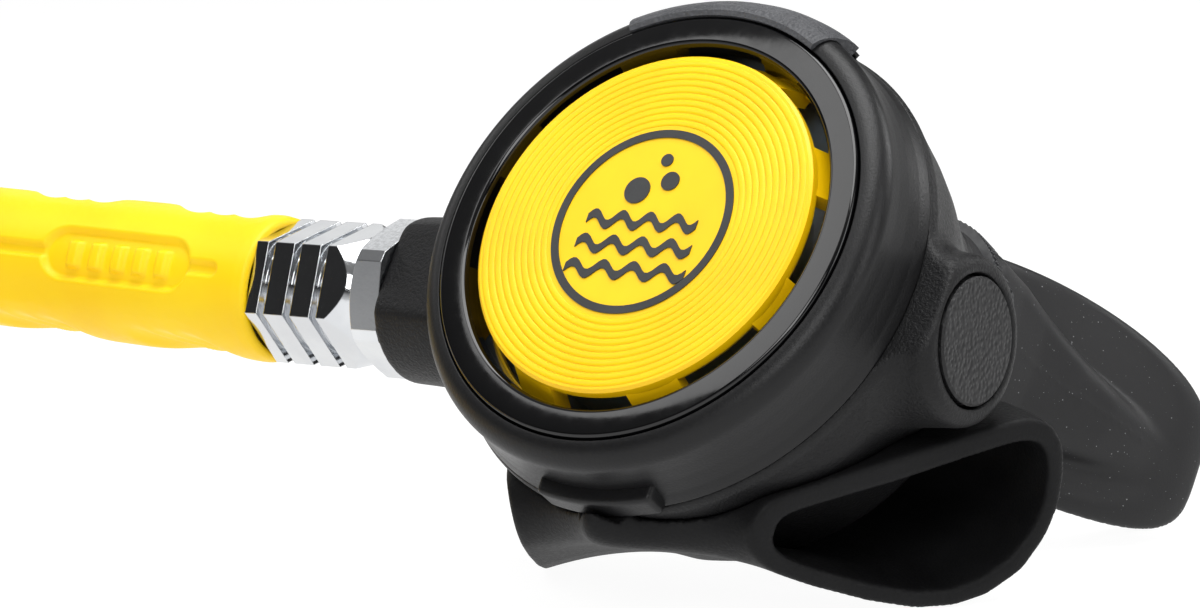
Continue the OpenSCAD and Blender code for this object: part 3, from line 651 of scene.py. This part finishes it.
points, quads = field_net(mouth_field, (-34, 42, -10), (34, 103, 34), 0.5)
mouthpiece = make_piece("mouthpiece_silicone", stage_point(points), quads)
dress(mouth_silicone, "mouthpiece_silicone")
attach(mouthpiece, "stage")
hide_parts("mouthpiece")

# %% [markdown]
# ## The case
# The case is moulded in one piece with the boss for the hose, the boss for the plug and the
# hood behind the mouthpiece. Each boss meets the round case in a hollow fillet, so the case
# is a field too. Its hollow inside is the CAD's: an air chamber, a slot for the breath, a
# ribbed port for the exhaust valve and the bore for the valve barrel.


# %% Field of the case
def rod_x(x, y, z, x0, x1, r):
    """A rod along the valve's axis."""
    return np.maximum(np.hypot(y - VALVE_Y, z - VALVE_Z) - r, np.abs(x - (x0 + x1) / 2) - (x1 - x0) / 2)


def case_field(x, y, z):
    radius = np.hypot(x, z)
    skin = profile_field(radius, y, CASE_SIDE)
    around = np.hypot(y - VALVE_Y, z - VALVE_Z)
    swell = np.interp(x, [26, 31, 36, 40], [12.4, 11.6, 11.3, 11.1])
    plain = cut(around - swell, np.maximum(x - 39.8, 20 - x), 2.2)
    taper = np.interp(-x, [26, 38, 48.7], [12, 11.7, 11.3])
    inlet = cut(around - taper, np.maximum(-48.7 - x, x + 20), 1.0)
    front = 12.95 - y
    bosses = cut(np.minimum(plain, inlet), front, 0.6)
    body = join(skin, bosses, 3.4)
    body = np.maximum(body, 12.97 - y)
    hood_w = np.interp(y, [26, 44], [47, 43])
    hood_h = np.interp(y, [26, 44], [31.5, 28])
    hood_z = np.interp(y, [26, 44], [11, 13])
    hood = cut(oval(x, z - hood_z, hood_w, hood_h), np.maximum(26 - y, y - 44), 1.2)
    spigot = np.maximum(oval(x, z - MOUTH_RISE, 36, 21), np.abs(y - 49) - 9)
    bead = np.maximum(oval(x, z - MOUTH_RISE, 37.4, 22.4), np.abs(y - 57) - 1)
    body = np.minimum(join(body, hood, 3.0), np.minimum(spigot, bead))
    turn = np.arctan2(x, z) - math.radians(-5.75)
    run = radius * np.maximum(np.abs(turn) - math.radians(30.7), 0)
    tab = profile_field(radius, y, [[33, 7.3], [35.7, 7.3], [36, 9], [36, 13], [35.4, 17],
                                    [34.4, 18.4], [33, 19]])
    tab = np.maximum(cut(tab, run - 0.1, 0.8), 35.05 - radius + 3 * np.clip(y - 13, 0, 1))
    body = np.minimum(body, tab)
    chamber = profile_field(radius, y, [[0, 12], [31.4, 12], [31.4, 14.2], [30, 14.2], [30, 24],
                                        [28.8, 30], [27, 35], [24.5, 38], [15, 39.2], [0, 39.2]])
    breath = np.maximum(oval(x, z - MOUTH_RISE, 31, 16), np.abs(y - 45) - 15)
    hole = np.hypot(x, z + PORT_DROP)
    port = np.maximum(hole - 8.6, np.abs(y - 40.5) - 4.5)
    bars = np.minimum.reduce([np.abs(x * math.sin(a) + (z + PORT_DROP) * math.cos(a))
                              for a in np.radians([0, 45, 90, 135])]) - 0.9
    ribs = np.maximum(np.minimum(bars, hole - 3.4), np.abs(y - 38.3) - 2.3)
    seat = np.maximum(hole - 10.3, np.abs(y - 42.8) - 2.2)
    opened = np.minimum(np.maximum(port, -ribs), np.minimum(seat, hole - 1.25 + 99 * (y < 36)))
    for hollow in (chamber, breath, opened, rod_x(x, y, z, -51, 32, 6.42)):
        body = np.maximum(body, -hollow)
    return cut(body, -rod_x(x, y, z, 31, 42, 8.68), 0.5)


points, quads = field_net(case_field, (-50, 6, -37), (42, 60, 38), 0.56)
case = make_piece("case_shell", stage_point(points), quads)
dress(case_nylon, "case_shell")
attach(case, "stage")
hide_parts("case_body")

# %% [markdown]
# ## Turned rings
# The cover ring and the bezel are turned shapes with a fine outline: the light runs along
# their edges. Each outline's corners are rounded first, then it is spun in 288 steps.


# %% Turning an outline
def soften(outline, r, steps=4):
    """Each corner of a closed outline becomes a short curve about r wide."""
    made, n = [], len(outline)
    for i in range(n):
        p = np.array(outline[i], float)
        a, b = np.array(outline[i - 1], float) - p, np.array(outline[(i + 1) % n], float) - p
        la, lb = np.linalg.norm(a), np.linalg.norm(b)
        start, end = p + a * min(r / la, 0.42), p + b * min(r / lb, 0.42)
        made += [(1 - t) ** 2 * start + 2 * t * (1 - t) * p + t * t * end
                 for t in np.linspace(0, 1, steps)]
    return np.array(made)


def turned(outline, segments=288):
    """Vertices and faces of a closed [radius, depth] outline spun round the stage's axis."""
    a = np.linspace(0, 2 * math.pi, segments, endpoint=False)
    r, y = outline[:, 0][:, None], outline[:, 1][:, None]
    p = np.stack([r * np.cos(a), y + 0 * a, r * np.sin(a)], -1).reshape(-1, 3)
    quads = ring_faces(len(outline), segments, True)
    area = np.sum(outline[:, 0] * np.roll(outline[:, 1], -1)
                  - np.roll(outline[:, 0], -1) * outline[:, 1])
    return p, quads if area > 0 else [q[::-1] for q in quads]


# %% Cover ring with its lip, and bezel
shoulder = [[30.95 + 3.15 * math.cos(math.radians(a)), 4 - 3 * math.sin(math.radians(a))]
            for a in range(90, -1, -6)]
outline = ([[30.9, 1.3]] + shoulder + [[34.0, 6], [34.05, 8.5], [34.35, 11], [34.9, 12.85],
           [30.3, 12.85], [30.3, 9.2], [28.6, 9.2], [28.6, 6.3], [30.9, 6.3]])
ring_points, ring_quads = turned(soften(outline, 0.25))
lip_points, lip_quads = field_net(lambda x, y, z: np.maximum(cut(
    box_field(x, y, z, (-8.4, 8.6, -40), (9.2, 12.7, -31), 0.5), np.hypot(x, z) - 36.1, 0.8),
    33.6 - np.hypot(x, z)), (-10, 7, -38), (11, 14, -30), 0.3)
points = np.vstack([ring_points, lip_points])
quads = list(ring_quads) + (lip_quads + len(ring_points)).tolist()
cover = make_piece("cover_ring_turned", stage_point(points), quads)
dress(cover_nylon, "cover_ring_turned")
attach(cover, "stage")
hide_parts("cover_ring")

outline = [[26.35, 6], [26.35, 2.6], [26.5, 1.2], [26.85, 0.62], [27.2, 0.43], [30.3, 0.53],
           [30.6, 0.75], [30.7, 1.1], [30.7, 6]]
ring_points, ring_quads = turned(soften(outline, 0.12))
bezel = make_piece("bezel_turned", stage_point(ring_points), ring_quads)
dress(bezel_gloss, "bezel_turned")
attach(bezel, "stage")
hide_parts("bezel")

# %% [markdown]
# ## The hose sleeve
# A soft yellow sleeve slides over the last 105 mm of the hose to stiffen it and to give
# the fingers a grip. It is nearly round, so a grid of rings round its axis suits it: at
# each point the radius is the outside profile, less the depth of whatever is sunk there.

# %% Sleeve
SLEEVE_RISE = math.radians(2)
RINGS, SIDES = 320, 216


def soft_step(distance, width):
    """1 inside an outline, 0 outside it, easing over the width."""
    return ease(np.clip(0.5 - distance / width, 0, 1))


def to_bar(u, v, u0, u1):
    """Distance to a straight line along u from u0 to u1."""
    return np.hypot(u - np.clip(u, u0, u1), v)


def sleeve_depth(x, angle, r):
    sunk = np.zeros(x.shape)
    for side in (math.radians(160), math.radians(-20)):
        v = ((angle - side + math.pi) % (2 * math.pi) - math.pi) * r
        panel = soft_step(to_bar(x, v, -33, -14) - 3.7, 0.7)
        bars = np.max([soft_step(np.maximum(np.abs(x + 31.4 - 4 * k) - 1.0, np.abs(v) - 2.0), 0.6)
                       for k in range(5)], axis=0)
        lines = soft_step(np.minimum(to_bar(x, v, -72, -36), to_bar(x, v, -12, -6)) - 0.8, 0.6)
        sunk = np.maximum(sunk, np.maximum(panel * 1.05 * (1 - 0.8 * bars), lines * 0.8))
    for side in (math.radians(70), math.radians(250)):
        turn = angle - side
        py, pz = r * np.cos(turn), r * np.sin(turn)
        for x0 in (-13.5, -40, -66):
            for k in (-1, 0, 1):
                dx, dy = x - x0 - 4.4 * k, py - 13.3
                off = dx * 0.5 + pz * 0.866
                d = np.sqrt(np.maximum(dx ** 2 + dy ** 2 + pz ** 2 - off ** 2, 0))
                dig = 4.7 - d
                sunk = np.maximum(sunk, 0.5 * (dig + np.sqrt(dig * dig + 0.12)) * (dig > -1.2))
    return sunk


x = np.linspace(-104.4, -0.6, RINGS)
base = np.interp(x, [-105, -91, -75, -50, -24, -8, -2, 0], [7.2, 8.4, 9.7, 9.8, 10.1, 10.3, 10.2, 9.9])
a = np.linspace(0, 2 * math.pi, SIDES, endpoint=False)
X, A = np.meshgrid(x, a, indexing="ij")
R = base[:, None] - sleeve_depth(X, A, base[:, None])
ends = [[-0.25, 9.75], [-0.08, 9.5], [-0.02, 9.2], [-0.1, 8.85], [-0.4, 8.7], [-10, 8.66],
        [-29.6, 8.66], [-30, 8.5], [-30, 6.1], [-30.2, 5.84], [-60, 5.84], [-104.2, 5.84],
        [-104.7, 5.95], [-104.95, 6.3], [-104.95, 6.75], [-104.8, 7.0]]
X = np.vstack([X] + [np.full((1, SIDES), e[0]) for e in ends])
R = np.vstack([R] + [np.full((1, SIDES), e[1]) for e in ends])
A = np.tile(a, (len(X), 1))
y, z = R * np.cos(A), R * np.sin(A)
points = np.stack([X * math.cos(SLEEVE_RISE) + z * math.sin(SLEEVE_RISE), y,
                   z * math.cos(SLEEVE_RISE) - X * math.sin(SLEEVE_RISE)], -1).reshape(-1, 3)
points = points / 1000 + np.array([-0.05785, VALVE_AXIS[1], VALVE_AXIS[2]])
faces = [f[::-1] for f in ring_faces(len(X), SIDES, True)]
sleeve = make_piece("hose_sleeve_grip", points, faces)
dress(sleeve_yellow, "hose_sleeve_grip")
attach(sleeve, "hose")
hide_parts("hose_sleeve")

# %% [markdown]
# ## What repeats: Geometry Nodes
# Ridges on the purge button, teeth on the strap and turns of a thread repeat by a rule, so
# each is a small node tree with its sizes as inputs. The tree works in millimetres. Its
# result is made a plain mesh and moved to its place, and the modifier is taken off.


# %% Node tree helpers
def new_tree(name, inputs):
    """An empty tree with named inputs, its input node and its output node."""
    tree = bpy.data.node_groups.new(name, "GeometryNodeTree")
    for label, kind in inputs:
        tree.interface.new_socket(label, in_out="INPUT", socket_type="NodeSocket" + kind)
    tree.interface.new_socket("Geometry", in_out="OUTPUT", socket_type="NodeSocketGeometry")
    return tree, tree.nodes.new("NodeGroupInput").outputs


def swept(tree, curves, thickness, sides):
    """A round rod along every curve."""
    real = add(tree, "GeometryNodeRealizeInstances", {"Geometry": curves}).outputs[0]
    rod = add(tree, "GeometryNodeCurvePrimitiveCircle", {"Resolution": sides,
                                                         "Radius": thickness}).outputs[0]
    return add(tree, "GeometryNodeCurveToMesh", {"Curve": real, "Profile Curve": rod}).outputs[0]


def end_tree(tree, geometry, finish):
    """Real geometry with the finish on it, smooth shaded, to the tree's output."""
    real = add(tree, "GeometryNodeRealizeInstances", {"Geometry": geometry}).outputs[0]
    smooth = add(tree, "GeometryNodeSetShadeSmooth", {"Geometry": real}).outputs[0]
    made = add(tree, "GeometryNodeSetMaterial", {"Geometry": smooth, "Material": finish})
    add(tree, "NodeGroupOutput", {"Geometry": made.outputs[0]})


def grown(name, tree, sizes, place, start=None):
    """Runs a tree with its sizes and returns the piece, with place(points) as its points."""
    base = start or bpy.data.meshes.new(name)
    piece = bpy.data.objects.new(name, base)
    bpy.context.scene.collection.objects.link(piece)
    modifier = piece.modifiers.new(name, "NODES")
    modifier.node_group = tree
    for item in tree.interface.items_tree:
        if item.in_out == "INPUT" and item.name in sizes:
            modifier[item.identifier] = sizes[item.name]
    shown = piece.evaluated_get(bpy.context.evaluated_depsgraph_get())
    mesh = bpy.data.meshes.new_from_object(shown)
    piece.modifiers.clear()
    points = np.empty(len(mesh.vertices) * 3)
    mesh.vertices.foreach_get("co", points)
    mesh.vertices.foreach_set("co", place(points.reshape(-1, 3)).ravel())
    mesh.update()
    piece.data = mesh
    print(name, "faces", len(mesh.polygons))
    return piece


# %% [markdown]
# ### Ridges on the purge button
# Ten low rings keep a gloved finger from slipping. Each is a circle whose radius grows
# with its index, swept with a small round profile that is half sunk in the disc.

# %% Purge ridges
RIDGE_PRESS = 0.2
tree, given = new_tree("rings at a pitch", [("Count", "Int"), ("First radius", "Float"),
                                            ("Pitch", "Float"), ("Thickness", "Float"),
                                            ("Finish", "Material")])
rows = add(tree, "GeometryNodePoints", {"Count": given["Count"]}).outputs[0]
index = add(tree, "GeometryNodeInputIndex").outputs[0]
step = add(tree, "ShaderNodeMath", {0: index, 1: given["Pitch"]}, operation="MULTIPLY").outputs[0]
reach = add(tree, "ShaderNodeMath", {0: step, 1: given["First radius"]}, operation="ADD").outputs[0]
unit = add(tree, "GeometryNodeCurvePrimitiveCircle", {"Resolution": 192, "Radius": 1.0}).outputs[0]
rings = add(tree, "GeometryNodeInstanceOnPoints", {"Points": rows, "Instance": unit,
                                                   "Scale": reach}).outputs[0]
end_tree(tree, swept(tree, rings, given["Thickness"], 10), given["Finish"])


def on_the_disc(p):
    """Rings drawn flat, pressed to a low dome on the face of the button."""
    return stage_point(np.column_stack([p[:, 0], -p[:, 2] * RIDGE_PRESS, p[:, 1]]))


ridges = grown("purge_ridges", tree, {"Count": 10, "First radius": 14.55, "Pitch": 0.98,
                                      "Thickness": 0.45, "Finish": purge_yellow}, on_the_disc)
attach(ridges, "button")

# %% [markdown]
# ### Teeth on the strap, turns of a thread
# The strap that holds the mouthpiece is a cable tie: fine bars run across its outside for
# the latch to click on. The fitting at the hose's far end has a thread of fine pitch. Both
# trees put one small shape on each point of a row or a path.

# %% Strap teeth
tree, given = new_tree("bars along a path", [("Path", "Geometry"), ("Bars", "Int"),
                                             ("Thickness", "Float"), ("Length", "Float"),
                                             ("Finish", "Material")])
track = add(tree, "GeometryNodeMeshToCurve", {"Mesh": given["Path"]}).outputs[0]
spots = add(tree, "GeometryNodeResampleCurve", {"Curve": track, "Count": given["Bars"]}).outputs[0]
bar = add(tree, "GeometryNodeMeshCylinder", {"Vertices": 6, "Radius": given["Thickness"],
                                             "Depth": given["Length"]}).outputs["Mesh"]
bars = add(tree, "GeometryNodeInstanceOnPoints", {"Points": spots, "Instance": bar}).outputs[0]
end_tree(tree, bars, given["Finish"])

turn = np.linspace(0, 2 * math.pi, 240, endpoint=False)
half = np.where(np.cos(turn) >= 0, 7.5, -7.5)
loop = np.column_stack([half + 15.42 * np.cos(turn), 15.42 * np.sin(turn), 0 * turn])
path_mesh = bpy.data.meshes.new("strap_path")
path_mesh.from_pydata(loop.tolist(), [(i, (i + 1) % 240) for i in range(240)], [])
teeth = grown("strap_teeth", tree, {"Bars": 132, "Thickness": 0.24, "Length": 3.6,
                                    "Finish": strap_nylon},
              lambda p: stage_point(np.column_stack([p[:, 0], p[:, 2] + 51, p[:, 1] + MOUTH_RISE])),
              path_mesh)
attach(teeth, "stage")

# %% Turns of the thread
tree, given = new_tree("turns along a rod", [("Turns", "Int"), ("Pitch", "Float"),
                                             ("Radius", "Float"), ("Thickness", "Float"),
                                             ("Finish", "Material")])
offset = add(tree, "ShaderNodeCombineXYZ", {"Z": given["Pitch"]}).outputs[0]
row = add(tree, "GeometryNodeMeshLine", {"Count": given["Turns"], "Offset": offset}).outputs[0]
circle = add(tree, "GeometryNodeCurvePrimitiveCircle", {"Resolution": 64,
                                                        "Radius": given["Radius"]}).outputs[0]
turns = add(tree, "GeometryNodeInstanceOnPoints", {"Points": row, "Instance": circle}).outputs[0]
end_tree(tree, swept(tree, turns, given["Thickness"], 8), given["Finish"])

FAR_END = np.array([COIL[0] + TAIL, COIL[1] - COIL[2], FITTING_R])
thread = grown("far_thread", tree, {"Turns": 8, "Pitch": 1.06, "Radius": 4.48, "Thickness": 0.36,
                                    "Finish": chrome},
               lambda p: p[:, [2, 0, 1]] / 1000 + FAR_END + [0.0341, 0, 0])
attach(thread, "hose")

# %% [markdown]
# ## Floor and lights
# A pale floor that glows a little, without an edge in view, and a wide softbox overhead.
# Softboxes in front, right, left and behind shape the case. Two small ones light the
# swivel nut and the bezel, and the sky is bright at the horizon and dark above it.

# %% Floor
floor = make_piece("floor", [(-9, -9, 0), (9, -9, 0), (9, 9, 0), (-9, 9, 0)], [(0, 1, 2, 3)], False)
floor_paper = moulded("white sweep, lit from below", "#5e5e5e", "#626262", (0.7, 0.8), 0.8, 0.01,
                      patch=200, specular=0.05)
glowing = floor_paper.node_tree.nodes["Principled BSDF"].inputs
glowing["Emission Color"].default_value = (1, 1, 1, 1)
glowing["Emission Strength"].default_value = 0.95
dress(floor_paper, "floor")


# %% Lights
def softbox(name, at, aim, size, watts):
    data = bpy.data.lights.new(name, "AREA")
    data.shape = "RECTANGLE"
    data.size, data.size_y = size
    data.energy = watts
    lamp = bpy.data.objects.new(name, data)
    bpy.context.scene.collection.objects.link(lamp)
    lamp.location = at
    lamp.rotation_euler = (Vector(aim) - Vector(at)).to_track_quat("-Z", "Y").to_euler()


softbox("softbox_overhead", (0.08, -0.02, 0.75), (0, -0.04, 0.03), (0.7, 0.5), 6.0)
softbox("softbox_front", (0.35, -0.85, 0.55), (0, -0.03, 0.04), (0.5, 0.4), 3.4)
softbox("softbox_right", (0.75, 0.0, 0.40), (0, -0.03, 0.04), (0.3, 0.5), 1.7)
softbox("softbox_left", (-0.75, -0.05, 0.5), (0, -0.03, 0.04), (0.4, 0.3), 0.8)
softbox("softbox_nut", (-0.57, 0.60, 0.44), (-0.05, -0.02, 0.04), (0.5, 0.4), 0.55)
softbox("softbox_bezel", (-0.35, -0.42, 0.73), (0, -0.04, 0.04), (0.3, 0.3), 0.8)
softbox("softbox_back", (0.35, 0.62, 0.42), (0.02, 0.02, 0.03), (0.35, 0.3), 1.5)

# %% World
world = bpy.data.worlds.new("studio")
bpy.context.scene.world = world
world.use_nodes = True
world.node_tree.nodes.clear()
sky = world.node_tree
direction = add(sky, "ShaderNodeTexCoord").outputs["Generated"]
height = add(sky, "ShaderNodeSeparateXYZ", {"Vector": direction}).outputs["Z"]
ramp = add(sky, "ShaderNodeValToRGB", {"Fac": height})
ramp.color_ramp.elements[0].position = 0.0
ramp.color_ramp.elements[0].color = (0.7, 0.7, 0.7, 1)
ramp.color_ramp.elements[1].position = 1.0
ramp.color_ramp.elements[1].color = (0.3, 0.3, 0.3, 1)
for place, grey in ((0.12, 0.4), (0.22, 0.03), (0.5, 0.03), (0.7, 0.2)):
    stop = ramp.color_ramp.elements.new(place)
    stop.color = (grey, grey, grey, 1)
glow = add(sky, "ShaderNodeBackground", {"Color": ramp.outputs["Color"], "Strength": 1.0})
add(sky, "ShaderNodeOutputWorld", {"Surface": glow.outputs["Background"]})
